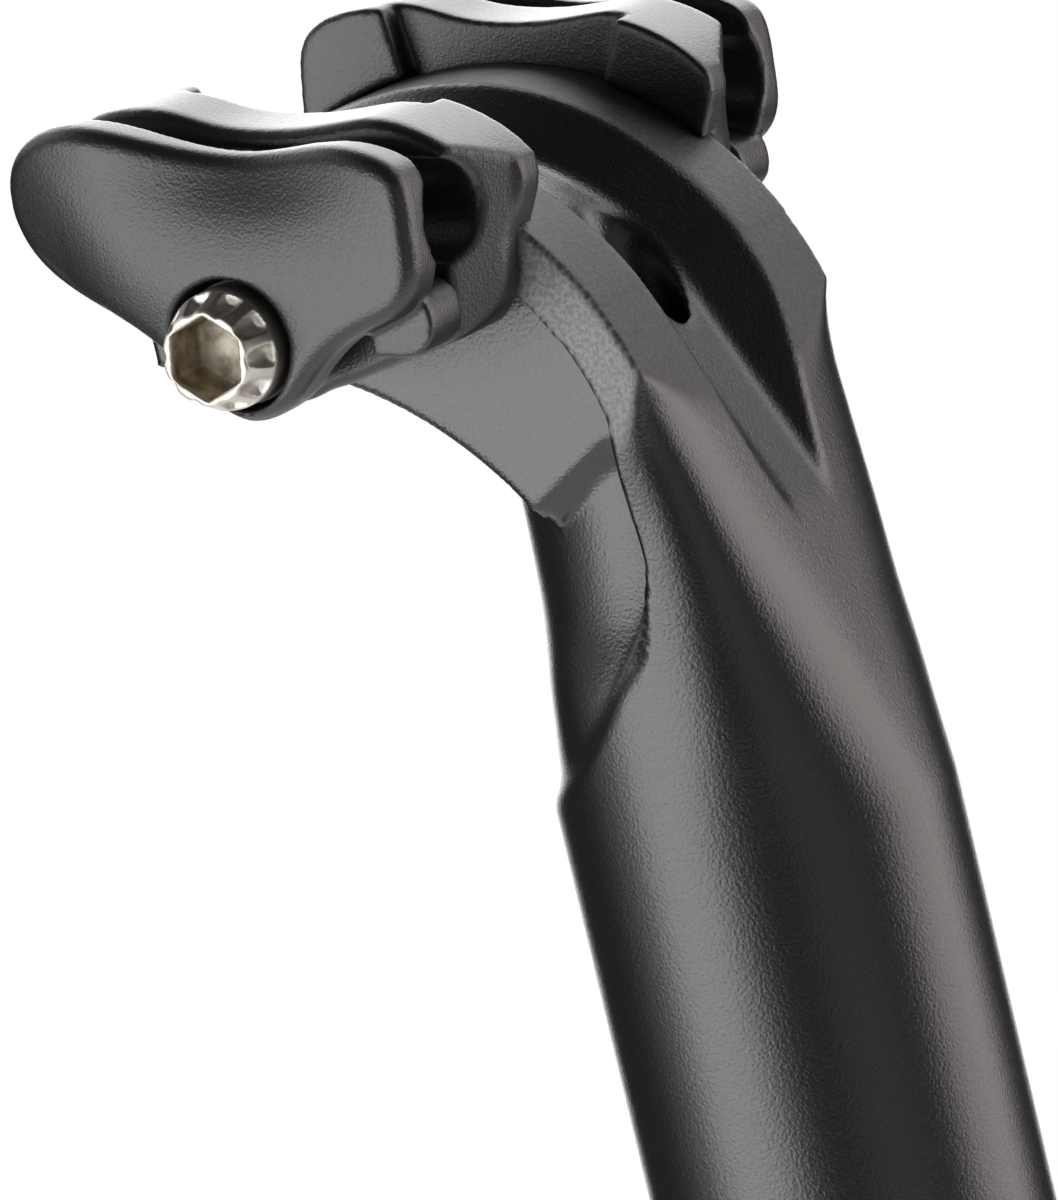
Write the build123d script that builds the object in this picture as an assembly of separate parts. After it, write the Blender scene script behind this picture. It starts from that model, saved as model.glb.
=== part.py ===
# Setback seatpost with a single-bolt side clamp for two saddle rails, in millimetres.
# Frame: origin at the centre of the tube's lower end, +Z up the tube, +X forward, +Y to the left.
# Heights in the head are taken from the tilt axis, the line the clamp turns about when the saddle is levelled.
import os
from math import copysign, cos, exp, radians, sin, sqrt, tan

from build123d import *

# Tube
TUBE_D = 27.2
TUBE_WALL = 2.3
TUBE_R = TUBE_D / 2
BORE_END_BELOW_AXIS = 36.0
BORE_TOP_ROUND = 4.0
FOOT_CHAMFER = 0.6

# Saddle rails and the height they are held at
RAIL_D = 7.0
RAIL_SPACING = 44.0
RAIL_HEIGHT = 350.0
RAIL_R = RAIL_D / 2
RAIL_Y = RAIL_SPACING / 2

# Curved rims that carry the clamp, and the layout of rail and bolt above the tilt axis
RIM_R = 26.0
RIM_HALF_WIDTH = 14.7
RIM_THICK = 3.9
RIM_REAR_ANGLE = -34.0
RIM_END_ANGLE = 62.0
RIM_FRONT_ANGLE = 78.0
RIM_FRONT_X = 7.08
RAIL_BELOW_RIM = 2.2
BOLT_BELOW_RAIL = 8.1
LEVEL_TILT = 10.5
TILT_RANGE = 8.0
RAIL_FROM_AXIS = RIM_R - RAIL_BELOW_RIM
BOLT_FROM_AXIS = RAIL_FROM_AXIS - BOLT_BELOW_RAIL
LEDGE_R = RIM_R - RIM_THICK

# Tilt axis in the post's frame
SETBACK = RIM_R * sin(radians(RIM_FRONT_ANGLE)) - RIM_FRONT_X
AXIS_Z = RAIL_HEIGHT - RAIL_FROM_AXIS * cos(radians(LEVEL_TILT))

# Web between the rims and the neck
WEB_HALF_WIDTH = 11.7
UNDERSIDE_R = 30.0
UNDERSIDE_BELOW_RIM = 43.7
UNDERSIDE_CENTRE = (-12.2, RIM_R - UNDERSIDE_BELOW_RIM)
UNDERSIDE_REAR = -13.0
WEB_INTO_RIM = 0.5
WEB_PAST_FRONT = 4.0
PAD_CORNER_HIGH = (19.3, 2.9)
PAD_CORNER_LOW = (12.4, -1.4)

# Neck: the front slope runs straight down from the rims until it meets the tube
SLOPE_TOP = (RIM_FRONT_X, RIM_R * cos(radians(RIM_FRONT_ANGLE)))
SLOPE = tan(radians(90.0 - RIM_FRONT_ANGLE))
NECK_RUN_OUT = 0.8
NECK_LOW = SLOPE_TOP[1] - (TUBE_R - SLOPE_TOP[0]) / SLOPE - NECK_RUN_OUT
NECK_CORE_R = 11.05
CORE_FLARE = 0.4
CORE_STRAIGHT_FROM = -4.0
CORE_TOP = 6.0
# Waist of the core: radius over its least, height from the tilt axis
CORE_WAIST = [(1.8, -20.8), (0.95, -14.0), (0.3, -9.5)]
CREASE_X = 2.95
# Crease where the skin ends at the side: distance in front of CREASE_X, height from the tilt axis
CREASE = [(0.0, 0.0), (0.1, -5.0), (-0.2, -9.0), (-1.0, -12.4), (-2.5, -14.9), (-4.9, -17.0), (-8.3, -19.2)]
CREASE_END_X = -11.0
CREASE_END_UP = 0.6
RELIEF_PAST_REAR = 20.0
SLICE_POINTS = 24
# Level slices of the neck: height from the tilt axis, half width over the tube's, ease from the slope,
# squareness
NECK_SLICES = [
    (-22.0, 0.0, -0.10, 2.2),
    (-18.0, 0.0, -0.10, 2.5),
    (-12.0, 0.0, -0.12, 3.0),
    (-6.0, 0.2, -0.15, 3.9),
    (-1.0, 0.6, -0.10, 4.6),
    (2.5, 1.2, 0.05, 4.8),
    (5.0, 2.0, 0.40, 4.8),
    (7.0, 3.0, 0.95, 4.8),
    (9.5, 5.4, 2.80, 4.8),
    (14.0, 10.0, 6.70, 4.8),
]

# Groove between the rims, and the hole drilled down through its floor on the tube's axis
GROOVE_DEPTH = 3.2
GROOVE_HALF_TOP = 7.5
GROOVE_HALF_FLOOR = 3.0
GROOVE_STRAIGHT_ANGLE = 65.0
GROOVE_RUN = 34.0
GROOVE_OVER_RIM = 3.0
GROOVE_OVER_SLOPE = 9.0
GROOVE_FLOOR_R = RIM_R - GROOVE_DEPTH
CENTRE_HOLE_D = 5.3
CENTRE_HOLE_BOTTOM = 1.5

# Inner clamp, outward from the middle plane
SEAT_GAP = 0.15
WALL_IN = RIM_HALF_WIDTH + SEAT_GAP
GRIP_SHORT = 0.8
WALL_OUT = RAIL_Y - GRIP_SHORT
RAIL_GAP = 0.05
RAIL_GROOVE_R = RAIL_R + RAIL_GAP
CLAW_REACH = 1.8
CLAW_ANGLES = (17.0, 37.0)
CLAMP_HALF_LENGTH = 16.0
END_SLANT = 2.8
BOSS_R = 5.5
BOSS_IN = WEB_HALF_WIDTH + SEAT_GAP
INNER_ROUND = 0.8

# Outer clamp, outward from the middle plane
JAW_GAP = 0.1
PLATE_CLEAR = 2.6
PLATE_THICK = 3.7
COUNTERBORE_DEPTH = 3.0
HEEL_IN = WALL_OUT + JAW_GAP
PLATE_IN = RAIL_Y + PLATE_CLEAR
PLATE_OUT = PLATE_IN + PLATE_THICK
SEAT_OUT = PLATE_OUT - COUNTERBORE_DEPTH
HEEL_FRONT = 14.0
HEEL_TOP_BELOW_RAIL = 4.2
HEEL_HEIGHT = 4.7
HEEL_ROUND = 2.2
HEEL_GAP_R = 9.4
LUG_R = 4.8
VALLEY_AT = 1.5
VALLEY_DEPTH = 2.0
VALLEY_HALF_LENGTH = 7.5
VALLEY_HALF_HEIGHT = 5.0
VALLEY_ABOVE_RAIL = 6.0
BULB_START = -7.0
BULB_FALL = 1.5
BULB_LENGTH = 9.0
PLATE_ROUND = 1.2
BLOCK_MARGIN = 3.0

# Bolt, washer and nut
BOLT_D = 6.0
BOLT_HOLE_GAP = 0.35
THREAD_GAP = 0.05
HEAD_BASE_R = 4.05
HEAD_COLLAR = 2.7
HEAD_CONE = 2.3
FLUTE_COUNT = 10
FLUTE_R = 0.75
FLUTE_DEPTH_LOW = 0.9
FLUTE_DEPTH_TOP = 0.15
SOCKET_FLATS = 5.0
SOCKET_DEPTH = 3.8
SOCKET_RIM = 0.26
WASHER_R = 4.3
WASHER_THICK = 1.0
WASHER_GAP = 0.25
NUT_FLATS = 8.0
NUT_HEIGHT = 5.0
NUT_PROUD = 0.5
POCKET_GAP = 0.1
BOLT_TIP_PAST_NUT = 1.2
BOLT_R = BOLT_D / 2
BOLT_HOLE_R = BOLT_R + BOLT_HOLE_GAP
HEAD_TOP_R = SOCKET_FLATS / sqrt(3) + SOCKET_RIM
COUNTERBORE_R = WASHER_R + WASHER_GAP
NUT_OUT = PLATE_OUT + NUT_PROUD
NUT_IN = NUT_OUT - NUT_HEIGHT

# Past every surface of the head, for cutters
CLEAR = 80.0


def on_arc(radius, angle):
    """Point in the side view, from the tilt axis; the angle is from straight up, towards the front."""
    return (radius * sin(radians(angle)), radius * cos(radians(angle)))


def side_prism(outline, near, far):
    """Solid with a side-view outline, between two distances to the right of the middle plane."""
    return extrude(Plane.XZ.offset(near) * outline, far - near)


def cross_rod(radius, near, far):
    """Round bar on the bolt's axis, between two distances to the right of the middle plane."""
    return side_prism(Pos(0, BOLT_FROM_AXIS) * Circle(radius), near, far)


def to_axis(shape):
    """Carry a shape drawn about the tilt axis to its place in the post's frame."""
    return Pos(-SETBACK, 0, AXIS_Z) * shape


def to_clamp(shape):
    """Carry a shape drawn in the clamp's upright frame to the level-saddle setting."""
    return to_axis(Rot(0, LEVEL_TILT, 0) * shape)


def ring_sector(inner, outer, start, end):
    """Side-view slice of a ring about the tilt axis."""
    reach = outer * 2
    ring = Circle(outer) - Circle(inner)
    steps = 8
    fan = [on_arc(reach, start + (end - start) * i / steps) for i in range(steps + 1)]
    wedge = make_face(Polyline((0, 0), *fan, close=True))
    return ring & wedge


def slope_x(height):
    """Where the front slope stands at a height from the tilt axis."""
    return SLOPE_TOP[0] + SLOPE * (SLOPE_TOP[1] - height)


def section(height, widening, ease, squareness):
    """Level slice of the neck's skin: round at the back, flattened and squarer at the front."""
    half_width = TUBE_R + widening
    front = slope_x(height) + ease
    points = []
    for i in range(SLICE_POINTS):
        turn = radians(360.0 * i / SLICE_POINTS)
        c = cos(turn)
        s = sin(turn)
        depth = front if c > 0 else TUBE_R
        power = squareness if c > 0 else 2
        x = depth * copysign(abs(c) ** (2 / power), c)
        y = half_width * copysign(abs(s) ** (2 / power), s)
        points.append((x, y))
    return Plane.XY.offset(AXIS_Z + height) * make_face(Spline(*points, periodic=True))


def skin():
    """Outside of the forging from the tube up to the rims, before its top and sides are cut."""
    slices = [Plane.XY.offset(AXIS_Z + NECK_LOW) * Circle(TUBE_R)]
    slices += [section(*row) for row in NECK_SLICES]
    return loft(slices)


def behind_front():
    """Everything behind the rim arc and the straight slope below it, as wide as the rims."""
    start = on_arc(RIM_R, RIM_FRONT_ANGLE)
    foot = (slope_x(-CLEAR) + SETBACK, -CLEAR)
    top = on_arc(RIM_R, RIM_REAR_ANGLE)
    middle = on_arc(RIM_R, (RIM_REAR_ANGLE + RIM_FRONT_ANGLE) / 2)
    edge = Curve() + [
        ThreePointArc(top, middle, start),
        Line(start, foot),
        Polyline(foot, (-CLEAR, -CLEAR), (-CLEAR, top[1]), top),
    ]
    return to_axis(side_prism(make_face(edge), -RIM_HALF_WIDTH, RIM_HALF_WIDTH))


def side_relief():
    """Side-view region under the rims and behind the crease, where only web and core are left."""
    start = on_arc(LEDGE_R, RIM_FRONT_ANGLE)
    rear_angle = RIM_REAR_ANGLE - RELIEF_PAST_REAR
    top = on_arc(LEDGE_R, rear_angle)
    middle = on_arc(LEDGE_R, (rear_angle + RIM_FRONT_ANGLE) / 2)
    low = (SETBACK + CREASE_END_X, NECK_LOW + CREASE_END_UP)
    points = [(SETBACK + CREASE_X + ahead, up) for ahead, up in CREASE]
    crease = Spline(start, *points, low)
    edge = Curve() + [
        ThreePointArc(top, middle, start),
        crease,
        Polyline(low, (-CLEAR, low[1]), (-CLEAR, top[1]), top),
    ]
    return to_axis(side_prism(make_face(edge), -CLEAR, CLEAR))


def neck_core():
    """Turned core of the neck inside the side relief, waisted towards the head."""
    foot = (TUBE_R + CORE_FLARE, NECK_LOW)
    waist = [(NECK_CORE_R + over, up) for over, up in CORE_WAIST]
    top = (NECK_CORE_R, CORE_STRAIGHT_FROM)
    end = (NECK_CORE_R, CORE_TOP)
    profile = Curve() + [
        Line((0, NECK_LOW), foot),
        Spline(foot, *waist, top),
        Polyline(top, end, (0, end[1]), (0, NECK_LOW)),
    ]
    return Pos(0, 0, AXIS_Z) * revolve(Plane.XZ * make_face(profile), Axis.Z)


def underside(x):
    """Point of the concave underside at a distance in front of the tilt axis."""
    cx, cz = UNDERSIDE_CENTRE
    return (x, cz + sqrt(UNDERSIDE_R ** 2 - (x - cx) ** 2))


def web():
    """Flat-sided web under the rims, with the concave underside."""
    cx, cz = UNDERSIDE_CENTRE
    low_z = PAD_CORNER_LOW[1]
    low = (cx + sqrt(UNDERSIDE_R ** 2 - (low_z - cz) ** 2), low_z)
    rear = underside(UNDERSIDE_REAR)
    middle = underside((UNDERSIDE_REAR + low[0]) / 2)
    into_rim = LEDGE_R + WEB_INTO_RIM
    front_angle = RIM_FRONT_ANGLE + WEB_PAST_FRONT
    front = on_arc(into_rim, front_angle)
    over = on_arc(into_rim, (RIM_REAR_ANGLE + front_angle) / 2)
    top = on_arc(into_rim, RIM_REAR_ANGLE)
    edge = Curve() + [
        ThreePointArc(rear, middle, low),
        Line(low, PAD_CORNER_HIGH),
        Line(PAD_CORNER_HIGH, front),
        ThreePointArc(front, over, top),
        Line(top, rear),
    ]
    return to_axis(side_prism(make_face(edge), -WEB_HALF_WIDTH, WEB_HALF_WIDTH))


def rims():
    """Curved flange whose top carries the clamp, full width before the groove is cut."""
    sector = ring_sector(LEDGE_R, RIM_R, RIM_REAR_ANGLE, RIM_END_ANGLE)
    return to_axis(side_prism(sector, -RIM_HALF_WIDTH, RIM_HALF_WIDTH))


def groove_slice(above):
    """Cross-section of the groove: flat floor and sloping walls, carried on above the rim top."""
    slope = (GROOVE_HALF_TOP - GROOVE_HALF_FLOOR) / GROOVE_DEPTH
    high = GROOVE_DEPTH + above
    half = GROOVE_HALF_FLOOR + slope * high
    outline = Polyline((-GROOVE_HALF_FLOOR, 0), (GROOVE_HALF_FLOOR, 0), (half, high), (-half, high), close=True)
    return make_face(outline)


def groove():
    """Groove between the rims: follows the rim arc, then runs straight out through the front."""
    at_top = Plane((0, 0, GROOVE_FLOOR_R), x_dir=(0, 1, 0), z_dir=(1, 0, 0))
    ring = revolve(at_top * groove_slice(GROOVE_OVER_RIM), Axis.Y, 180)
    ring = Rot(0, GROOVE_STRAIGHT_ANGLE - 180, 0) * ring
    start = on_arc(GROOVE_FLOOR_R, GROOVE_STRAIGHT_ANGLE)
    turn = radians(GROOVE_STRAIGHT_ANGLE)
    along = Plane((start[0], 0, start[1]), x_dir=(0, 1, 0), z_dir=(cos(turn), 0, -sin(turn)))
    straight = extrude(along * groove_slice(GROOVE_OVER_SLOPE), GROOVE_RUN)
    return to_axis(ring + straight)


def centre_hole():
    """Blind hole on the tube's axis, opening in the groove floor."""
    hole = Cylinder(CENTRE_HOLE_D / 2, RIM_R, align=(Align.CENTER, Align.CENTER, Align.MIN))
    return Pos(0, 0, AXIS_Z + CENTRE_HOLE_BOTTOM) * hole


def tilt_slot():
    """Curved slot through the web that lets the bolt swing about the tilt axis."""
    low = LEVEL_TILT - TILT_RANGE
    high = LEVEL_TILT + TILT_RANGE
    shape = ring_sector(BOLT_FROM_AXIS - BOLT_HOLE_R, BOLT_FROM_AXIS + BOLT_HOLE_R, low, high)
    shape += Pos(*on_arc(BOLT_FROM_AXIS, low)) * Circle(BOLT_HOLE_R)
    shape += Pos(*on_arc(BOLT_FROM_AXIS, high)) * Circle(BOLT_HOLE_R)
    return to_axis(side_prism(shape, -CLEAR, CLEAR))


def tube_bore():
    """Bore of the tube, closed with a rounded end below the neck, its mouth eased at the foot."""
    radius = TUBE_R - TUBE_WALL
    height = AXIS_Z - BORE_END_BELOW_AXIS
    on_foot = (Align.CENTER, Align.CENTER, Align.MIN)
    bore = Cylinder(radius, height, align=on_foot)
    bore = fillet(bore.edges().sort_by(Axis.Z)[-1], BORE_TOP_ROUND)
    return bore + Cone(radius + FOOT_CHAMFER, radius, FOOT_CHAMFER, align=on_foot)


def make_post():
    """The one-piece post: tube, neck and head."""
    tube = Cylinder(TUBE_R, AXIS_Z + NECK_LOW, align=(Align.CENTER, Align.CENTER, Align.MIN))
    tube -= tube_bore()
    head = skin() & behind_front()
    head -= side_relief() - neck_core()
    head += rims()
    head += web()
    head -= groove()
    head -= centre_hole()
    head -= tilt_slot()
    return tube + head


def rail_bar():
    """Space of the right-hand rail through the clamp."""
    return Pos(0, -RAIL_Y, RAIL_FROM_AXIS) * Rot(0, 90, 0) * Cylinder(RAIL_GROOVE_R, CLEAR)


def from_rail(*points):
    """Side-view points given from the rail's axis."""
    return [(along, RAIL_FROM_AXIS + up) for along, up in points]


def from_bolt(*points):
    """Side-view points given from the bolt's axis."""
    return [(along, BOLT_FROM_AXIS + up) for along, up in points]


def inner_outline():
    """Side view of the inner clamp: wavy top, round front hook, tapering to the boss round the bolt."""
    end = CLAMP_HALF_LENGTH
    top = Spline(*from_rail((-end, 1.8), (-14.6, 4.7), (-11.4, 5.9), (-7.6, 6.0), (-4.6, 5.3), (-1.2, 4.95),
                            (2.5, 5.15), (5.2, 5.6), (7.8, 5.95), (10.6, 5.45), (13.6, 4.1), (end - 0.2, 2.4)))
    front = Spline(*from_rail((end - 0.2, 2.4), (end, 0.3), (end - 0.8, -2.4), (end - 0.9, -5.6), (13.6, -8.6)))
    low_front = from_rail((13.6, -8.6))[0]
    low_rear = from_rail((-end, -3.6))[0]
    boss = from_bolt((5.0, -4.0), (0.0, -BOSS_R), (-5.0, -4.0))
    bottom = Polyline(low_front, *boss, low_rear, from_rail((-end, 1.8))[0])
    return make_face(Curve() + [top, front, bottom])


def claw(start, end):
    """One of the two fingers that lie on the rim, as high as the wall."""
    sector = ring_sector(RIM_R + SEAT_GAP, 2 * RIM_R, start, end)
    return side_prism(sector & inner_outline(), RIM_HALF_WIDTH - CLAW_REACH, WALL_IN + INNER_ROUND)


def slanted_ends():
    """Space between the slanted ends of the inner clamp, which is shorter on its outer side."""
    near = CLAMP_HALF_LENGTH
    far = CLAMP_HALF_LENGTH - END_SLANT
    plan = Polyline((-near, -WALL_IN), (-far, -WALL_OUT), (far, -WALL_OUT), (near, -WALL_IN), close=True)
    return extrude(make_face(plan), CLEAR)


def make_inner_clamp():
    """Right inner clamp: wall with the rail groove, two claws and the boss round the bolt."""
    body = side_prism(inner_outline(), WALL_IN, WALL_OUT)
    outer_face = body.faces().sort_by(Axis.Y)[0]
    body = fillet(outer_face.edges(), INNER_ROUND) & slanted_ends()
    body += claw(CLAW_ANGLES[0], CLAW_ANGLES[1])
    body += claw(-CLAW_ANGLES[1], -CLAW_ANGLES[0])
    body += cross_rod(BOSS_R, BOSS_IN, WALL_OUT)
    body -= rail_bar()
    return body - cross_rod(BOLT_HOLE_R, 0, CLEAR)


def outer_outline():
    """Side view of the outer clamp: round rear end, square front end, dipped top, tapering to the bolt."""
    rear = (-17.0, 0.8)
    top = from_rail(rear, (-16.1, 3.9), (-13.9, 5.6), (-10.8, 6.2), (-7.5, 5.8), (-3.5, 4.9), (0.5, 4.45),
                    (4.0, 4.8), (7.5, 5.35), (11.0, 5.0), (13.1, 3.9))
    front = from_rail((13.8, 2.0), (14.05, -0.6), (14.05, -3.2), (13.1, -5.1), (11.2, -6.3))
    lug = from_bolt((8.3, 0.3), (5.9, -2.0), (4.5, -3.6), (2.4, -4.9), (0.4, -5.3), (-1.6, -4.7), (-4.2, -2.6))
    back = from_rail((-12.4, -5.2), (-15.2, -3.2), (-16.6, -1.2), rear)
    sides = Curve() + [Spline(*top, *front, *lug), Spline(lug[-1], *back)]
    return make_face(sides)


def face_out(along, up):
    """Distance of the plate's sculpted outer face from the middle plane: a soft valley, falling to the rear."""
    length = (along - VALLEY_AT) / VALLEY_HALF_LENGTH
    height = (up - RAIL_FROM_AXIS - VALLEY_ABOVE_RAIL) / VALLEY_HALF_HEIGHT
    valley = VALLEY_DEPTH * exp(-length ** 2 - height ** 2)
    past = max(0.0, BULB_START - along) / BULB_LENGTH
    return PLATE_OUT - valley - BULB_FALL * past ** 2


def sculpted_block():
    """Block behind the plate's sculpted outer face."""
    reach = CLAMP_HALF_LENGTH + BLOCK_MARGIN
    low = BOLT_FROM_AXIS - LUG_R - BLOCK_MARGIN
    high = RAIL_FROM_AXIS + VALLEY_ABOVE_RAIL + BLOCK_MARGIN
    columns = 14
    rows = 10
    grid = []
    for row in range(rows + 1):
        up = low + (high - low) * row / rows
        line = []
        for column in range(columns + 1):
            along = -reach + 2 * reach * column / columns
            line.append((along, -face_out(along, up), up))
        grid.append(line)
    return extrude(Face.make_surface_from_array_of_points(grid), amount=RAIL_Y, dir=(0, 1, 0))


def heel():
    """Pad behind the plate that bears on the inner clamp below the rail, and the lug round the bolt."""
    up = RAIL_FROM_AXIS - HEEL_TOP_BELOW_RAIL - HEEL_HEIGHT / 2
    bar = Pos(HEEL_FRONT / 2, up) * RectangleRounded(HEEL_FRONT, HEEL_HEIGHT, HEEL_ROUND)
    at_bolt = Pos(0, BOLT_FROM_AXIS)
    pad = bar - at_bolt * Circle(HEEL_GAP_R)
    return side_prism(pad + at_bolt * Circle(LUG_R), HEEL_IN, PLATE_IN + PLATE_ROUND)


def make_outer_clamp():
    """Right outer clamp before its bolt seat is cut."""
    plate = side_prism(outer_outline(), PLATE_IN, PLATE_OUT + BLOCK_MARGIN) & sculpted_block()
    face = plate.faces().sort_by(Axis.Y)[0]
    plate = fillet(face.edges(), PLATE_ROUND)
    body = plate + heel()
    body -= rail_bar()
    return body - cross_rod(BOLT_HOLE_R, 0, CLEAR)


def hex_prism(flats, near, far):
    """Hexagonal bar on the bolt's axis, corners up and down, between two distances to the right."""
    shape = Pos(0, BOLT_FROM_AXIS) * RegularPolygon(flats / 2, 6, major_radius=False, rotation=30)
    return side_prism(shape, near, far)


def bolt_plane(out):
    """Plane square to the bolt, a distance to the right of the middle plane."""
    return Plane((0, -out, BOLT_FROM_AXIS), x_dir=(1, 0, 0), z_dir=(0, -1, 0))


def flute(turn, low, high):
    """Sloping round notch down the cone of the bolt's head."""
    way = (cos(radians(turn)), sin(radians(turn)))
    from_low = HEAD_BASE_R + FLUTE_R - FLUTE_DEPTH_LOW
    from_top = HEAD_TOP_R + FLUTE_R - FLUTE_DEPTH_TOP
    start = bolt_plane(low) * Pos(from_low * way[0], from_low * way[1]) * Circle(FLUTE_R)
    end = bolt_plane(high) * Pos(from_top * way[0], from_top * way[1]) * Circle(FLUTE_R)
    return loft([start, end])


def make_bolt():
    """Cross bolt: fluted cone head with a hex socket on the right, threaded end on the left."""
    head_in = SEAT_OUT + WASHER_THICK
    cone_in = head_in + HEAD_COLLAR
    head_out = cone_in + HEAD_CONE
    bolt = cross_rod(BOLT_R, -NUT_OUT - BOLT_TIP_PAST_NUT, head_in)
    bolt += cross_rod(HEAD_BASE_R, head_in, cone_in)
    bolt += loft([bolt_plane(cone_in) * Circle(HEAD_BASE_R), bolt_plane(head_out) * Circle(HEAD_TOP_R)])
    for i in range(FLUTE_COUNT):
        bolt -= flute(360 * i / FLUTE_COUNT, cone_in, head_out)
    return bolt - hex_prism(SOCKET_FLATS, head_out - SOCKET_DEPTH, CLEAR)


def make_washer():
    """Plain ring under the bolt head."""
    ring = cross_rod(WASHER_R, SEAT_OUT, SEAT_OUT + WASHER_THICK)
    return ring - cross_rod(BOLT_R + THREAD_GAP, 0, CLEAR)


def make_nut():
    """Hexagonal nut let into the left outer clamp."""
    nut = hex_prism(NUT_FLATS, NUT_IN, NUT_OUT)
    nut -= cross_rod(BOLT_R + THREAD_GAP, 0, CLEAR)
    return mirror(nut, about=Plane.XZ)


def save(name, shape):
    """Write one piece in the shared frame."""
    export_step(shape, f"parts/{name}.step")


os.makedirs("parts", exist_ok=True)

inner_right = make_inner_clamp()
inner_left = mirror(inner_right, about=Plane.XZ)
outer = make_outer_clamp()
outer_right = outer - cross_rod(COUNTERBORE_R, SEAT_OUT, CLEAR)
outer_left = mirror(outer - hex_prism(NUT_FLATS + 2 * POCKET_GAP, NUT_IN, CLEAR), about=Plane.XZ)

save("post", make_post())
save("inner_clamp_right", to_clamp(inner_right))
save("inner_clamp_left", to_clamp(inner_left))
save("outer_clamp_right", to_clamp(outer_right))
save("outer_clamp_left", to_clamp(outer_left))
save("clamp_bolt", to_clamp(make_bolt()))
save("bolt_washer", to_clamp(make_washer()))
save("clamp_nut", to_clamp(make_nut()))
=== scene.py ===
from math import cos, pi, radians, sin, tan

import bmesh
import bpy
import numpy as np
from mathutils import Matrix, Vector


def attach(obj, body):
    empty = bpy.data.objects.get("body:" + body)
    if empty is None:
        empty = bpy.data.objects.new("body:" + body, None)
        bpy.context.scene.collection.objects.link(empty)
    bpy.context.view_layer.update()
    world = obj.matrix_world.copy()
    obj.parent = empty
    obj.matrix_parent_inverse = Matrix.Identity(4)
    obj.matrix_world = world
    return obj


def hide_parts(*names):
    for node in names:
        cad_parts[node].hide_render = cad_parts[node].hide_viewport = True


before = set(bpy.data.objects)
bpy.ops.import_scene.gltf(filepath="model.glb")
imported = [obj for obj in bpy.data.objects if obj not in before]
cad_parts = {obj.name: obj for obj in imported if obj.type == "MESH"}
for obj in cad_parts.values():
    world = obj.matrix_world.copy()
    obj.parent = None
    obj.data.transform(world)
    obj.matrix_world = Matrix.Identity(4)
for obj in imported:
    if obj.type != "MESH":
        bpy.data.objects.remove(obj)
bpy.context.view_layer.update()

# The post: one aluminium forging, a round tube that swells into a curved head with two rims and a groove.
# It is blasted and anodised satin black; the rim tops and the rim sides are machined before that,
# so they keep a coarser, lighter grain. The rim sides are also painted much lighter than the rim tops,
# as painted light that stands in for the light they catch. Its sizes are in mm; the head's run from the
# clamp's tilt axis.
MM = 0.001
TUBE_R = 13.6
BORE_R = 11.3
BORE_END = -36.0
FOOT_EASE = 0.6
TUBE_TOP = 285.0
SKIN_SPARE = 3.0
RIM_R = 26.0
RIM_THICK = 3.9
RIM_SIDE = 14.7
RIM_REAR = radians(-34.0)
RIM_END = radians(62.0)
RIM_FRONT = radians(78.0)
FRONT_X = 7.08
FRONT_Z = RIM_R * cos(RIM_FRONT)
LEDGE_R = RIM_R - RIM_THICK
SETBACK = RIM_R * sin(RIM_FRONT) - FRONT_X
RAIL_HEIGHT = 350.0
RAIL_BELOW_RIM = 2.2
RAIL_UP = RIM_R - RAIL_BELOW_RIM
BOLT_BELOW_RAIL = 8.1
BOLT_UP = RAIL_UP - BOLT_BELOW_RAIL
LEVEL_TILT = radians(10.5)
TILT_RANGE = radians(8.0)
TILT_AXIS = np.array((-SETBACK, 0.0, RAIL_HEIGHT - RAIL_UP * cos(LEVEL_TILT))) * MM
SLOT_R = 3.35
GROOVE_DEPTH = 3.2
GROOVE_HALF_TOP = 7.5
GROOVE_HALF_FLOOR = 3.0
GROOVE_SPREAD = (GROOVE_HALF_TOP - GROOVE_HALF_FLOOR) / GROOVE_DEPTH
GROOVE_R = RIM_R - GROOVE_DEPTH
GROOVE_BEND = radians(65.0)
HOLE_R = 2.65
HOLE_BOTTOM = 1.5
WEB_SIDE = 11.7
WEB_REAR = -13.03
WEB_INTO_RIM = 0.5
UNDERSIDE_R = 30.0
UNDERSIDE_BELOW_RIM = 43.7
UNDERSIDE_AT = (-12.2, RIM_R - UNDERSIDE_BELOW_RIM)
PAD_LOW = (12.4, -1.4)
PAD_HIGH = (19.3, 2.9)
PAD_LOW_RISE = (PAD_HIGH[1] - PAD_LOW[1]) / (PAD_HIGH[0] - PAD_LOW[0])
PAD_HIGH_RISE = 0.09
FACET_FALL = 0.45
FACET_WIDE = 2.0
NECK_RUN_OUT = 0.8
NECK_LOW = FRONT_Z - (TUBE_R - FRONT_X) * tan(RIM_FRONT) - NECK_RUN_OUT
NECK_MEAN_R = 13.0
CREASE_UP = 0.6
CORE_TOP = 6.0
SWELL_FROM = -1.05
SWELL_TURN = 0.6
FADE_FROM = -14.0
FADE_TALL = 8.0
# Neck: height, half width over the tube's, ease from the slope, squareness
NECK_ROWS = np.array([
    (NECK_LOW, 0.0, -0.17, 2.0), (-22.0, 0.0, -0.10, 2.2), (-18.0, 0.0, -0.10, 2.5),
    (-12.0, 0.0, -0.12, 3.0), (-6.0, 0.2, -0.15, 3.9), (-1.0, 0.6, -0.10, 4.6),
    (2.5, 1.2, 0.05, 4.8), (5.0, 2.0, 0.40, 4.8), (7.0, 3.0, 0.95, 4.8),
    (9.5, 5.4, 2.80, 4.8), (14.0, 10.0, 6.70, 4.8),
])
# Crease where the skin ends at the side: height, distance in front of the tilt axis
CREASE = np.array([
    (NECK_LOW + CREASE_UP, 7.35), (-22.2, 9.6), (-19.2, 13.0), (-17.0, 16.4), (-14.9, 18.8),
    (-12.4, 20.3), (-9.0, 21.1), (-5.0, 21.4), (0.0, 21.3), (4.6, 21.62),
])
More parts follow.
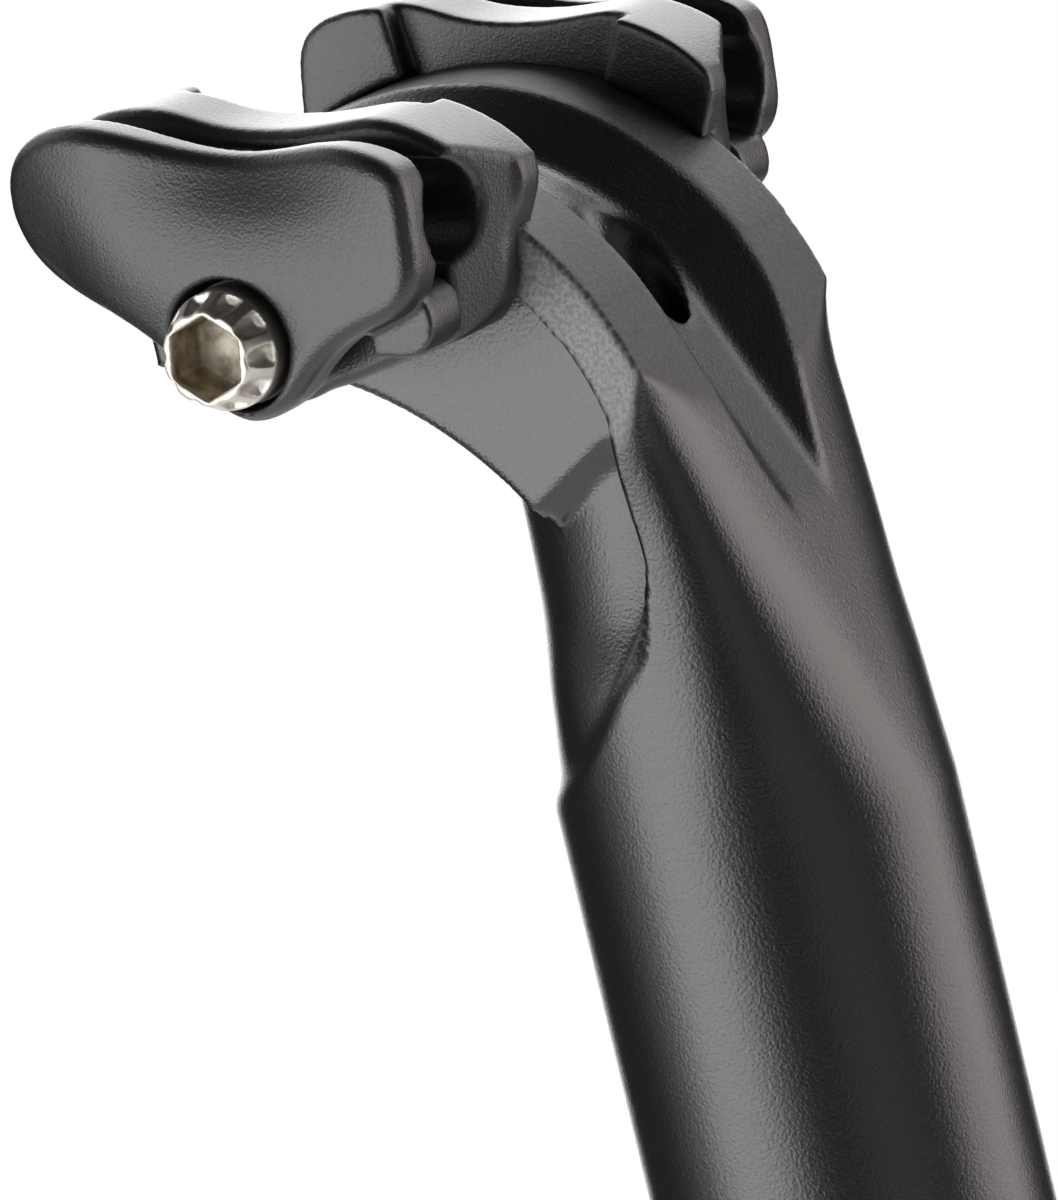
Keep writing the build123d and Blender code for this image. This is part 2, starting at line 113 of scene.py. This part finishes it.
# Core behind the crease: height, radius, swell towards the crease
WAIST = np.array([
    (NECK_LOW, 14.0, 0.0), (-20.8, 12.85, 0.45), (-14.0, 12.0, 0.9), (-9.5, 11.35, 0.4),
    (-4.0, 11.05, 0.0), (CORE_TOP, 11.05, 0.0),
])


def cut_off(work, height):
    """Take away what lies below a height, leaving open rings there."""
    everything = work.verts[:] + work.edges[:] + work.faces[:]
    level = {"plane_co": (0, 0, height), "plane_no": (0, 0, 1)}
    bmesh.ops.bisect_plane(work, geom=everything, clear_inner=True, **level)
    return [edge for edge in work.edges if edge.is_boundary]


def rounded_copy(node, name, voxel, passes, lowest=None):
    """The solid's own form as one even skin, with its edges rounded the way a blasted edge is."""
    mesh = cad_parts[node].data.copy()
    work = bmesh.new()
    work.from_mesh(mesh)
    bmesh.ops.remove_doubles(work, verts=work.verts, dist=0.001 * MM)
    if lowest is not None:
        bmesh.ops.bridge_loops(work, edges=cut_off(work, lowest))
    work.to_mesh(mesh)
    work.free()
    mesh.materials.clear()
    rough = bpy.data.objects.new(name + "_rough", mesh)
    bpy.context.scene.collection.objects.link(rough)
    skin = rough.modifiers.new("skin", "REMESH")
    skin.mode = "VOXEL"
    skin.voxel_size = voxel
    skin.use_smooth_shade = True
    soften = rough.modifiers.new("soften", "SMOOTH")
    soften.factor = 0.5
    soften.iterations = passes
    graph = bpy.context.evaluated_depsgraph_get()
    smooth = bpy.data.meshes.new_from_object(rough.evaluated_get(graph))
    smooth.name = name
    bpy.data.objects.remove(rough)
    piece = bpy.data.objects.new(name, smooth)
    bpy.context.scene.collection.objects.link(piece)
    return piece


def along(rows, column, height):
    """Smooth curve through one column of a table, its first column being the height."""
    heights = rows[:, 0]
    values = rows[:, column]
    slopes = np.gradient(values, heights)
    i = np.clip(np.searchsorted(heights, height) - 1, 0, len(rows) - 2)
    span = heights[i + 1] - heights[i]
    t = np.clip((height - heights[i]) / span, 0.0, 1.0)
    start = values[i] * (1 + 2 * t) * (1 - t) ** 2 + slopes[i] * span * t * (1 - t) ** 2
    end = values[i + 1] * t * t * (3 - 2 * t) + slopes[i + 1] * span * t * t * (t - 1)
    return start + end


def outer(a, b, ease):
    """The greater of two depths, which keeps what lies in both, with the edge rounded over ease."""
    near = np.maximum(ease - np.abs(a - b), 0.0) / ease
    return np.maximum(a, b) + near * near * ease / 4


def inner(a, b, ease):
    """The lesser of two depths, which joins both, with the corner filled over ease."""
    return -outer(-a, -b, ease)


def neck_skin(x, y, z):
    """Depth under the forged skin of the neck: round behind, flatter and squarer in front."""
    width = TUBE_R + along(NECK_ROWS, 1, z)
    front = FRONT_X + (FRONT_Z - z) / tan(RIM_FRONT) + along(NECK_ROWS, 2, z)
    ahead = x - SETBACK
    reach = np.where(ahead > 0, front, TUBE_R)
    power = np.where(ahead > 0, along(NECK_ROWS, 3, z), 2.0)
    size = ((np.abs(ahead) / reach) ** power + (np.abs(y) / width) ** power + 1e-9) ** (1 / power)
    return np.where(z < NECK_LOW, np.hypot(ahead, y) - TUBE_R, (size - 1) * NECK_MEAN_R)


def head_front(x, z):
    """Depth behind the machined arc of the rims and the straight slope below it."""
    straight = x * sin(RIM_FRONT) + z * cos(RIM_FRONT) - RIM_R
    return np.where(np.arctan2(x, z) < RIM_FRONT, np.hypot(x, z) - RIM_R, straight)


def groove_height(x, side, z):
    """Height over the groove between the rims, its flat floor or sloping walls, below 0 in the metal."""
    straight = x * sin(GROOVE_BEND) + z * cos(GROOVE_BEND)
    floor = np.where(np.arctan2(x, z) < GROOVE_BEND, np.hypot(x, z), straight) - GROOVE_R
    wall = (GROOVE_HALF_FLOOR + GROOVE_SPREAD * floor - side) / np.hypot(1, GROOVE_SPREAD)
    return inner(floor, wall, ease=0.5)


def scooped(skin, x, y, z):
    """The neck's skin with the scoop behind the crease, where only the waisted core is left."""
    edge = along(CREASE, 1, z)
    step = 0.1
    lean = (along(CREASE, 1, z + step) - along(CREASE, 1, z - step)) / (2 * step)
    behind = (x - edge) / np.sqrt(1 + lean * lean)
    scoop = np.maximum(behind, np.maximum(np.hypot(x, z) - LEDGE_R, CREASE[0, 0] - z))
    swell = np.clip((np.arctan2(x - SETBACK, np.abs(y)) - SWELL_FROM) / SWELL_TURN, 0.0, 1.0)
    waist = along(WAIST, 1, z) + along(WAIST, 2, z) * swell * swell * (3 - 2 * swell)
    core = np.maximum(np.hypot(x - SETBACK, y) - waist, z - CORE_TOP)
    fade = np.clip((FADE_FROM - z) / FADE_TALL, 0.0, 1.0)
    return outer(skin, inner(-scoop, core, ease=1.0), ease=0.5 + 1.4 * fade)


def rim_depth(x, side, z):
    """Depth in the curved flange that the clamps lie on, before the groove is cut."""
    reach = np.hypot(x, z)
    angle = np.arctan2(x, z)
    ends = np.maximum(angle - RIM_END, RIM_REAR - angle) * reach
    flange = outer(reach - RIM_R, LEDGE_R - reach, ease=0.3)
    return outer(flange, outer(side - RIM_SIDE, ends, ease=0.4), ease=0.4)


def below_line(x, z, start, rise):
    """Distance below a line in the side view that leaves a point with a rise."""
    return (rise * (x - start[0]) - (z - start[1])) / np.hypot(1, rise)


def web_depth(x, side, z):
    """Depth in the flat web under the rims, with a facet along the lower edge of its front corner."""
    under = UNDERSIDE_R - np.hypot(x - UNDERSIDE_AT[0], z - UNDERSIDE_AT[1])
    pad = np.minimum(below_line(x, z, PAD_LOW, PAD_LOW_RISE), below_line(x, z, PAD_HIGH, PAD_HIGH_RISE))
    facet = (side - WEB_SIDE + FACET_FALL * pad) / np.hypot(1, FACET_FALL)
    flat = outer(side - WEB_SIDE, facet, ease=0.12)
    outline = np.maximum(np.maximum(under, pad - FACET_WIDE), WEB_REAR - x)
    plate = outer(outline, flat, ease=0.5)
    return outer(plate, np.hypot(x, z) - LEDGE_R - WEB_INTO_RIM, ease=0.1)


def bored(head, x, y, z):
    """The head without its hole in the groove floor, the bolt's slot and the end of the tube's bore."""
    from_tube_axis = np.hypot(x - SETBACK, y)
    hole = outer(from_tube_axis - HOLE_R, HOLE_BOTTOM - z, ease=0.8)
    swing = np.clip(np.arctan2(x, z), LEVEL_TILT - TILT_RANGE, LEVEL_TILT + TILT_RANGE)
    slot = np.hypot(x - BOLT_UP * np.sin(swing), z - BOLT_UP * np.cos(swing)) - SLOT_R
    bore = outer(from_tube_axis - BORE_R, z - BORE_END, ease=4.0)
    drilled = outer(head, -hole, ease=0.9)
    return np.maximum(outer(drilled, -slot, ease=0.3), -bore)


def forging_depth(x, y, z):
    """Depth under the forging's surface, below 0 inside, in mm from the tilt axis."""
    side = np.abs(y)
    skin = outer(neck_skin(x, y, z), head_front(x, z), ease=0.25)
    head = scooped(outer(skin, side - RIM_SIDE, ease=0.4), x, y, z)
    head = inner(head, rim_depth(x, side, z), ease=0.3)
    head = inner(head, web_depth(x, side, z), ease=0.3)
    head = outer(head, groove_height(x, side, z), ease=0.35)
    return bored(head, x, y, z)


def evened(points, first, second):
    """Each point of a mesh drawn towards the middle of its neighbours, so that the mesh stays even."""
    ends = np.concatenate((first, second))
    others = np.concatenate((second, first))
    count = np.bincount(ends, minlength=len(points))
    middles = [np.bincount(ends, points[others, axis], len(points)) / count for axis in range(3)]
    return (points + np.transpose(middles)) / 2


def slope_of(depth, points):
    """Slope of a depth along each axis at some points."""
    step = 0.02
    slope = np.empty_like(points)
    for axis in range(3):
        nudge = np.zeros(3)
        nudge[axis] = step
        slope[:, axis] = (depth(*(points + nudge).T) - depth(*(points - nudge).T)) / (2 * step)
    return slope


def mark_rims(mesh, x, y, z):
    """Mark the machined rim tops and rim sides on the mesh, 1 there and 0 elsewhere."""
    side = np.abs(y)
    near = 0.12
    edge = 0.1
    fade = 0.3
    ahead = np.arctan2(x, z) > RIM_END
    under_skin = np.where(ahead, np.clip(-neck_skin(x, y, z) / fade, 0.0, 1.0), 1.0)
    on_top = (np.abs(head_front(x, z)) < near) & (groove_height(x, side, z) < -edge)
    rim_top = on_top & (side < RIM_SIDE - edge)
    rim_side = (np.abs(side - RIM_SIDE) < near) & (np.hypot(x, z) > LEDGE_R)
    for name, found in (("rim_top", rim_top), ("rim_side", rim_side)):
        share = mesh.attributes.new(name, "FLOAT", "POINT")
        share.data.foreach_set("value", (found * under_skin).astype(np.float32))


def drawn_to_form(piece):
    """Bring every point of the skin onto the forging's true surface, evening the mesh on the way."""
    mesh = piece.data
    pairs = np.empty(len(mesh.edges) * 2, np.int32)
    mesh.edges.foreach_get("vertices", pairs)
    points = np.empty(len(mesh.vertices) * 3, np.float32)
    mesh.vertices.foreach_get("co", points)
    points = (points.reshape(-1, 3).astype(float) - TILT_AXIS) / MM
    rounds = 12
    evened_before = (3, 3, 5, 5, 7, 7)
    least_steep = 0.2
    longest_move = 0.25
    for count in range(rounds):
        for _ in range(evened_before.count(count)):
            points = evened(points, pairs[0::2], pairs[1::2])
        slope = slope_of(forging_depth, points)
        steep = np.maximum((slope * slope).sum(1), least_steep)
        move = np.clip(forging_depth(*points.T) / steep, -longest_move, longest_move)
        points -= slope * move[:, None]
    mark_rims(mesh, *points.T)
    mesh.vertices.foreach_set("co", (points * MM + TILT_AXIS).astype(np.float32).ravel())
    mesh.update()


def tube_below(piece):
    """Trade the skin of the tube for a true round tube with its bore and foot."""
    work = bmesh.new()
    work.from_mesh(piece.data)
    middle = (TUBE_R + BORE_R) / 2 * MM
    edges = cut_off(work, TUBE_TOP * MM)
    wall = [edge for edge in edges if edge.verts[0].co.xy.length > middle]
    bore = [edge for edge in edges if edge.verts[0].co.xy.length <= middle]
    bore_stops = [(BORE_R, FOOT_EASE), (BORE_R + FOOT_EASE, 0.0)]
    foot = []
    for ring, stops in ((wall, [(TUBE_R, 0.0)]), (bore, bore_stops)):
        for radius, height in stops:
            made = bmesh.ops.extrude_edge_only(work, edges=ring)["geom"]
            ring = [item for item in made if isinstance(item, bmesh.types.BMEdge) and item.is_boundary]
            for vertex in {vertex for edge in ring for vertex in edge.verts}:
                vertex.co.xy = vertex.co.xy.normalized() * radius * MM
                vertex.co.z = height * MM
        foot += ring
    bmesh.ops.bridge_loops(work, edges=foot)
    bmesh.ops.recalc_face_normals(work, faces=work.faces)
    for face in work.faces:
        face.smooth = True
    for edge in work.edges:
        if edge.verts[0].co.z < 2 * FOOT_EASE * MM and len(edge.link_faces) == 2:
            edge.smooth = edge.calc_face_angle() < radians(30)
    work.to_mesh(piece.data)
    work.free()


class Wire:
    """One output in a material's node tree; sums and products of wires add Math nodes."""

    def __init__(self, tree, socket=None):
        self.tree = tree
        self.socket = socket

    def add(self, kind, settings, inputs, output=0):
        """Add a node, its settings first then its inputs' values or links, and give one of its outputs."""
        node = self.tree.nodes.new(kind)
        for name, value in settings.items():
            setattr(node, name, value)
        for key, value in inputs.items():
            if isinstance(value, Wire):
                self.tree.links.new(value.socket, node.inputs[key])
            else:
                node.inputs[key].default_value = value
        return Wire(self.tree, node.outputs[output] if node.outputs else None)

    def maths(self, operation, a, b=0.0):
        return self.add("ShaderNodeMath", {"operation": operation}, {0: a, 1: b})

    def __add__(self, other):
        return self.maths("ADD", self, other)

    def __radd__(self, other):
        return self.maths("ADD", other, self)

    def __sub__(self, other):
        return self.maths("SUBTRACT", self, other)

    def __rsub__(self, other):
        return self.maths("SUBTRACT", other, self)

    def __mul__(self, other):
        return self.maths("MULTIPLY", self, other)

    def __rmul__(self, other):
        return self.maths("MULTIPLY", other, self)

    def __pow__(self, other):
        return self.maths("POWER", self, other)

    def rise(self, low, high):
        """0 below low, 1 above high, eased between."""
        return self.add("ShaderNodeMapRange", {"interpolation_type": "SMOOTHSTEP"},
                        {"Value": self, "From Min": low, "From Max": high})

    def between(self, colour, other):
        """Colour at 0, the other colour at 1."""
        return self.add("ShaderNodeMix", {"data_type": "RGBA"}, {0: self, 6: colour, 7: other}, 2)

    def noise(self, place, scale, detail=2.0):
        """Fine random grain at a place, its scale in grains per metre."""
        return self.add("ShaderNodeTexNoise", {}, {"Vector": place, "Scale": scale, "Detail": detail})


def new_finish(name):
    """A bare material, and the object's own coordinates in its tree."""
    material = bpy.data.materials.new(name)
    material.use_nodes = True
    material.node_tree.nodes.clear()
    return material, Wire(material.node_tree).add("ShaderNodeTexCoord", {}, {}, "Object")


def lay_on(place, **inputs):
    """End the tree in a shader with these inputs, underscores standing for spaces."""
    named = {name.replace("_", " "): value for name, value in inputs.items()}
    surface = place.add("ShaderNodeBsdfPrincipled", {}, named)
    place.add("ShaderNodeOutputMaterial", {}, {"Surface": surface})


def bumped(height, strength, depth):
    """Normal of a surface whose grain stands up by depth."""
    return height.add("ShaderNodeBump", {}, {"Strength": strength, "Distance": depth, "Height": height})


forging, place = new_finish("blasted_forging")
rim_top = place.add("ShaderNodeAttribute", {"attribute_name": "rim_top"}, {}, "Fac")
rim_side = place.add("ShaderNodeAttribute", {"attribute_name": "rim_side"}, {}, "Fac")
machined = rim_top + rim_side
fine = place.noise(place, 4200.0, 3.0)
coarse = place.noise(place, 3200.0, 4.0)
grain = coarse * machined * 1.5 + fine * (1 - machined)
speck = coarse.rise(0.35, 0.65)
top_colour = speck.between((0.016, 0.016, 0.016, 1), (0.056, 0.055, 0.054, 1))
# Rim sides: a lighter machined grain, painted much lighter again than the rim tops as painted light.
side_grain_and_painted_light = speck.between((0.170, 0.169, 0.168, 1), (0.330, 0.328, 0.325, 1))
worn = rim_top.between((0.010, 0.010, 0.0105, 1), top_colour)
lay_on(place,
       Base_Color=rim_side.between(worn, side_grain_and_painted_light),
       Roughness=0.25 + rim_side * 0.2 + rim_top * 0.3 + fine * 0.06,
       Normal=bumped(grain, 0.55, 0.07 * MM),
       Specular_IOR_Level=1.0)

skin_end = (TUBE_TOP - SKIN_SPARE) * MM
post = rounded_copy("post", "forged_post", voxel=0.36 * MM, passes=4, lowest=skin_end)
drawn_to_form(post)
tube_below(post)
post.data.materials.append(forging)
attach(post, "post")
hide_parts("post")

# The inner clamps: two cast aluminium cradles, mirror images, that lie on the rims with two claws each
# and carry the rails in an open groove. Painted black with a fine pebbled grain.
pebbled, place = new_finish("pebbled_black")
pebble = place.add("ShaderNodeTexVoronoi", {"feature": "SMOOTH_F1"}, {"Vector": place, "Scale": 5200.0})
fine = place.noise(place, 7000.0, 2.0)
lay_on(place,
       Base_Color=fine.between((0.008, 0.008, 0.0085, 1), (0.014, 0.014, 0.0145, 1)),
       Roughness=0.33 + fine * 0.10,
       Normal=bumped(pebble + fine * 0.6, 0.55, 0.038 * MM),
       Specular_IOR_Level=1.0)
for hand in ("right", "left"):
    cradle = rounded_copy("inner_clamp_" + hand, "cradle_" + hand, voxel=0.24 * MM, passes=18)
    cradle.data.materials.append(pebbled)
    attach(cradle, "cradle")
    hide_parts("inner_clamp_" + hand)

# The outer clamps: two forged jaws that press the rails into the cradles. Each is one rounded plate
# with a heel behind it, in the same pebbled black; the right one is counterbored for the bolt.
REAR_EDGE_AT = (-16.6, 22.6)
REAR_EDGE_INWARD = (0.608, 0.794)
FALL_WIDE = 6.0
FALL_DEEP = 1.2
FALL_FROM_Y = 25.2
FALL_FULL_IN = 2.5


def rounded_off(piece):
    """Let the plate's outer face fall back softly towards its lower rear edge."""
    mesh = piece.data
    points = np.empty(len(mesh.vertices) * 3, np.float32)
    mesh.vertices.foreach_get("co", points)
    points = points.reshape(-1, 3)
    x, y, z = ((points - TILT_AXIS) / MM).T
    length = x * cos(LEVEL_TILT) - z * sin(LEVEL_TILT)
    height = x * sin(LEVEL_TILT) + z * cos(LEVEL_TILT)
    from_edge = np.column_stack((length, height)) - REAR_EDGE_AT
    fall = np.clip(1 - from_edge @ REAR_EDGE_INWARD / FALL_WIDE, 0.0, 1.0) ** 2 * FALL_DEEP
    face = np.clip((np.abs(y) - FALL_FROM_Y) / FALL_FULL_IN, 0.0, 1.0)
    points[:, 1] -= np.sign(y) * fall * face * MM
    mesh.vertices.foreach_set("co", points.ravel())
    mesh.update()


for hand in ("right", "left"):
    jaw = rounded_copy("outer_clamp_" + hand, "jaw_" + hand, voxel=0.22 * MM, passes=12)
    rounded_off(jaw)
    jaw.data.materials.append(pebbled)
    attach(jaw, hand + "_jaw")
    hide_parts("outer_clamp_" + hand)

# The cross bolt: one plated steel bolt with a fluted cone head and a hexagon socket, turned and rolled.
# The plating is bright on the rim and the flutes, and brown and dull in the socket.
BOLT_X = TILT_AXIS[0] + BOLT_UP * sin(LEVEL_TILT) * MM
BOLT_Z = TILT_AXIS[2] + BOLT_UP * cos(LEVEL_TILT) * MM
SOCKET_CORNER = 2.887 * MM
HEAD_TOP_Y = -31.3 * MM
plated, place = new_finish("plated_bolt")
stain = place.noise(place, 420.0, 4.0)
fine = place.noise(place, 3000.0, 2.0)
dirt = place.noise(place, 900.0, 3.0).rise(0.28, 0.66)
x, y, z = (place.add("ShaderNodeSeparateXYZ", {}, {0: place}, axis) for axis in range(3))
from_axis = ((x - BOLT_X) ** 2.0 + (z - BOLT_Z) ** 2.0) ** 0.5
within = 1 - from_axis.rise(SOCKET_CORNER, SOCKET_CORNER + 0.05 * MM)
socket = within * (y - HEAD_TOP_Y).rise(0.1 * MM, 0.5 * MM)
bright = stain.rise(0.35, 0.7).between((0.72, 0.68, 0.61, 1), (0.90, 0.86, 0.80, 1))
lay_on(place,
       Base_Color=socket.between(bright, dirt.between((0.36, 0.30, 0.21, 1), (0.72, 0.65, 0.55, 1))),
       Metallic=1.0,
       Roughness=0.40 + fine * 0.14 + socket * 0.06,
       Normal=bumped(fine, 0.10, 0.02 * MM))
bolt = rounded_copy("clamp_bolt", "cross_bolt", voxel=0.14 * MM, passes=2)
bolt.data.materials.append(plated)
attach(bolt, "bolt")
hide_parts("clamp_bolt")

# The washer under the bolt's head and the nut on the far side: a black pressed ring and a plated hexagon.
# The washer lies in the right jaw's counterbore, and the bolt draws the nut into its seat in the left jaw.
oxide, place = new_finish("black_oxide")
fine = place.noise(place, 3000.0, 2.0)
lay_on(place,
       Base_Color=fine.between((0.02, 0.02, 0.021, 1), (0.04, 0.04, 0.042, 1)),
       Metallic=1.0,
       Roughness=0.35 + fine * 0.15)
washer = rounded_copy("bolt_washer", "washer", voxel=0.12 * MM, passes=2)
washer.data.materials.append(oxide)
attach(washer, "right_jaw")
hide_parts("bolt_washer")
nut = rounded_copy("clamp_nut", "nut", voxel=0.12 * MM, passes=2)
nut.data.materials.append(plated)
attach(nut, "left_jaw")
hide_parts("clamp_nut")

# The floor: a plain pale sheet of matt board that the post's foot stands on. It glows to the camera
# and in reflections, so that it passes for white there, and it keeps a soft shadow.
FLOOR_R = 0.55
FLOOR_BELOW = 0.0002
FLOOR_GLOW = 0.7


def ray_kinds(wire):
    """Whether a ray is the camera's, a reflection's or one through glass, 1 or 0 for each."""
    kinds = ("Is Camera Ray", "Is Glossy Ray", "Is Transmission Ray")
    return [wire.add("ShaderNodeLightPath", {}, {}, kind) for kind in kinds]


pale, place = new_finish("pale_floor")
matt = place.add("ShaderNodeBsdfPrincipled", {}, {"Base Color": (0.85, 0.85, 0.85, 1), "Roughness": 0.9})
glow = place.add("ShaderNodeEmission", {}, {})
seen, mirrored, through = ray_kinds(place)
shown = place.maths("MINIMUM", seen + mirrored + through, 1.0)
lit = place.add("ShaderNodeMixShader", {}, {0: shown * FLOOR_GLOW, 1: matt, 2: glow})
place.add("ShaderNodeOutputMaterial", {}, {"Surface": lit})
sheet = bpy.data.meshes.new("floor")
disc = bmesh.new()
bmesh.ops.create_circle(disc, cap_ends=True, segments=96, radius=FLOOR_R)
disc.to_mesh(sheet)
disc.free()
floor = bpy.data.objects.new("floor", sheet)
bpy.context.scene.collection.objects.link(floor)
floor.data.materials.append(pale)
floor.location.z = -FLOOR_BELOW

# The light: soft boxes round the head in a dark room, as wide as given in degrees seen from the head.
# A cool one on the camera's left with a dim wide wing, a warm one on its right, two straight behind for
# the top edges, two high ones and a weak fill. A white backdrop stands behind, which the metal shows too.
HEAD = Vector((0.0, 0.0, 0.31))
BOX_AWAY = 1.2


def soft_box(name, azimuth, elevation, wide, tall, radiance, colour=(1.0, 1.0, 1.0)):
    """A soft box facing the head; azimuth as the camera's, radiance as a mirror would show it."""
    turn = radians(azimuth)
    rise = radians(elevation)
    way = Vector((sin(turn) * cos(rise), -cos(turn) * cos(rise), sin(rise)))
    lamp = bpy.data.lights.new(name, "AREA")
    lamp.shape = "RECTANGLE"
    lamp.size = 2 * BOX_AWAY * tan(radians(wide / 2))
    lamp.size_y = 2 * BOX_AWAY * tan(radians(tall / 2))
    lamp.energy = radiance * pi * lamp.size * lamp.size_y
    lamp.color = colour
    box = bpy.data.objects.new(name, lamp)
    bpy.context.scene.collection.objects.link(box)
    box.location = HEAD + way * BOX_AWAY
    box.rotation_euler = way.to_track_quat("Z", "Y").to_euler()
    box.visible_camera = False


soft_box("left_box", -24.0, -5.0, 46.0, 38.0, 2.8, (0.97, 1.0, 1.0))
soft_box("left_wing", -30.0, -3.0, 80.0, 40.0, 0.45)
soft_box("right_box", 126.0, -2.0, 46.0, 42.0, 2.2, (1.0, 0.93, 0.91))
soft_box("right_high", 150.0, 38.0, 50.0, 40.0, 1.3)
soft_box("back_box", 210.0, 0.0, 32.0, 36.0, 2.2)
soft_box("back_high", 205.0, 30.0, 60.0, 44.0, 3.0)
soft_box("left_high", -90.0, 38.0, 50.0, 40.0, 1.0)
soft_box("fill_box", 60.0, -5.0, 40.0, 40.0, 0.25)

BEHIND = radians(30.0)
BACKDROP_EDGE = radians(26.0)
BACKDROP_WHITE = radians(12.0)
ROOM_LEVEL = 0.03
world = bpy.data.worlds.new("white_room")
bpy.context.scene.world = world
world.use_nodes = True
world.node_tree.nodes.clear()
room = Wire(world.node_tree)
seen, mirrored, through = ray_kinds(room)
way = room.add("ShaderNodeTexCoord", {}, {}, "Generated")
x, y = (room.add("ShaderNodeSeparateXYZ", {}, {0: way}, axis) for axis in range(2))
straight_behind = y * cos(BEHIND) - x * sin(BEHIND)
shown = (mirrored + through) * straight_behind.rise(cos(BACKDROP_EDGE), cos(BACKDROP_WHITE))
level = ROOM_LEVEL + (1 - ROOM_LEVEL) * room.maths("MINIMUM", seen + shown, 1.0)
backdrop = room.add("ShaderNodeBackground", {}, {"Color": (1, 1, 1, 1), "Strength": level})
room.add("ShaderNodeOutputWorld", {}, {"Surface": backdrop})

# The camera: a long lens close on the head, about 30 degrees round from the right side to the front,
# a little from above and rolled, which is the photograph's viewing angle.
CAMERA_AT = Vector((0.288417, -0.528351, 0.417700))
turn = radians(29.778)
rise = radians(9.372)
roll = radians(-13.449)
back = Vector((sin(turn) * cos(rise), -cos(turn) * cos(rise), sin(rise)))
right = Vector((0, 0, 1)).cross(back).normalized()
up = back.cross(right)
across = cos(roll) * right + sin(roll) * up
upward = cos(roll) * up - sin(roll) * right
lens = bpy.data.cameras.new("camera")
lens.lens = 270.0
lens.sensor_width = 36.0
lens.clip_start = 0.01
lens.clip_end = 50.0
camera = bpy.data.objects.new("camera", lens)
bpy.context.scene.collection.objects.link(camera)
facing = Matrix((across, upward, back)).transposed().to_4x4()
camera.matrix_world = Matrix.Translation(CAMERA_AT) @ facing
bpy.context.scene.camera = camera
bpy.context.scene.view_settings.view_transform = "Standard"
